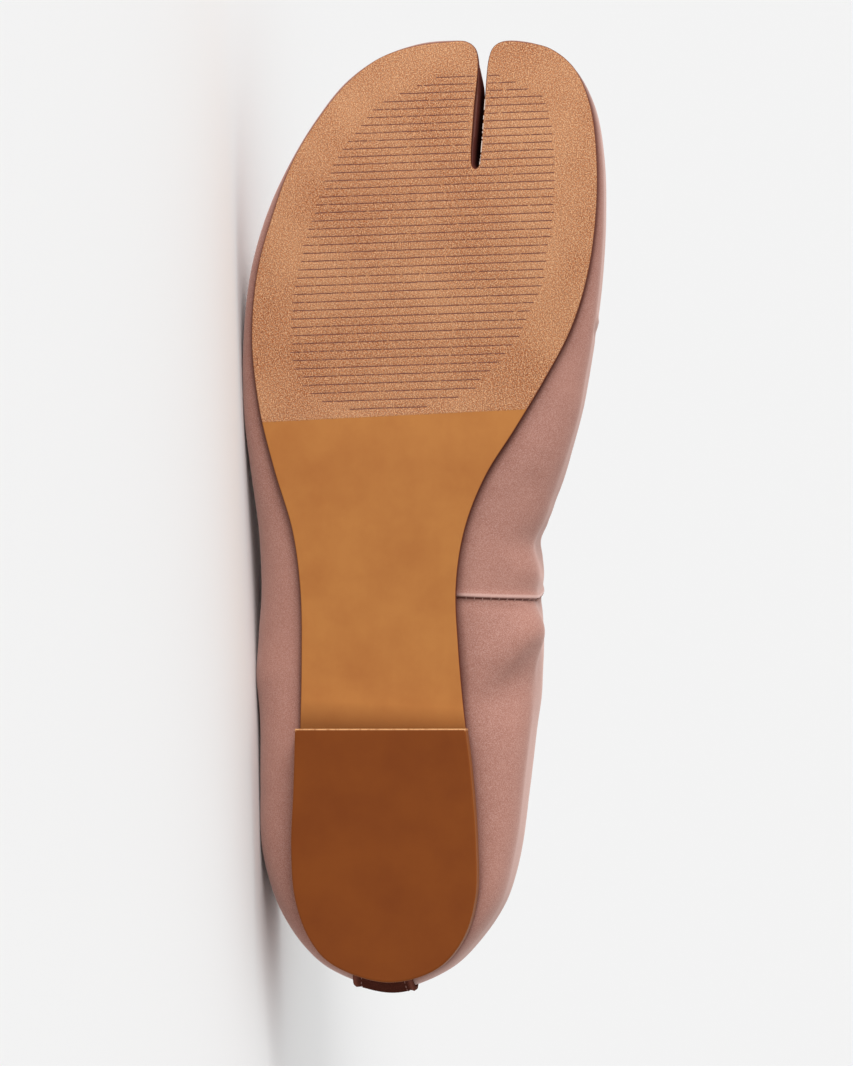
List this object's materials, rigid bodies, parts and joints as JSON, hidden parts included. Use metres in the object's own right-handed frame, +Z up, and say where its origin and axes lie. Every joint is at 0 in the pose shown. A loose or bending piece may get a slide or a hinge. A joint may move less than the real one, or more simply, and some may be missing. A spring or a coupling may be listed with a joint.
{
  "type": "ballet flat",
  "caption": "Soft split-toe ballet flat for the right foot: low round collar, hollow satin upper, shaped thin sole with a low D-shaped heel, lying on its outer side.",
  "frame": {"origin": "centre of the box's base, on the surface that the shoe lies on", "axes": "+Z up, with the inner side of the foot on top; -X towards the toe; -Y out of the sole, so +Y points out of the collar"},
  "size_m": [0.2536, 0.054, 0.0981],
  "materials": {
    "tan_sole": "satin",
    "brown_heel": "satin",
    "pink_satin": "satin",
    "pale_sock": "matte"
  },
  "bodies": {
    "root": {"outsole": "tan_sole", "heel": "brown_heel", "upper": "pink_satin", "insole": "pale_sock", "back_strip": "pink_satin"}
  },
  "joints": []
}
